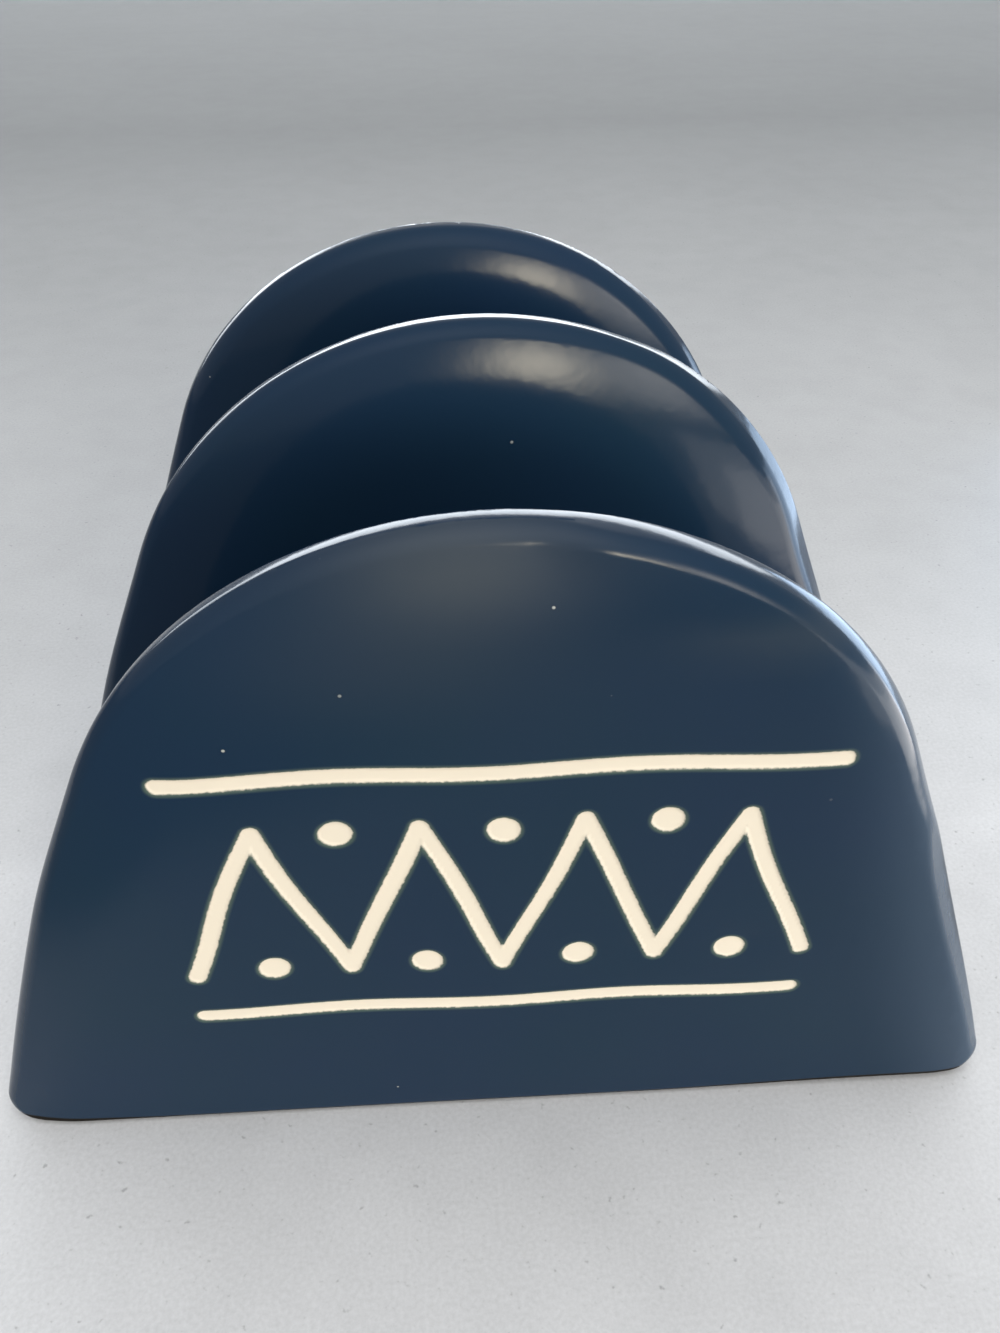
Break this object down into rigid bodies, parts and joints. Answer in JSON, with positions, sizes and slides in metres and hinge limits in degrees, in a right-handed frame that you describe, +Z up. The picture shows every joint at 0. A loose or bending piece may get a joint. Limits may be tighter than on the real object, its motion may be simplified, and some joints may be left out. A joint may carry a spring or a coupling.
{
  "type": "taco holder",
  "caption": "One-piece glazed ceramic taco holder: upright half-round walls on a low base, with a rounded slot between each pair of walls.",
  "frame": {"origin": "middle of the underside, on the surface that the holder stands on", "axes": "+X along the walls, +Y from the front wall to the back wall, +Z up"},
  "size_m": [0.152, 0.11, 0.107],
  "materials": {
    "navy_glaze": "satin-gloss navy blue glaze, thinning to cream clay in the incised ornament"
  },
  "bodies": {
    "root": {"holder": "navy_glaze"}
  },
  "joints": []
}
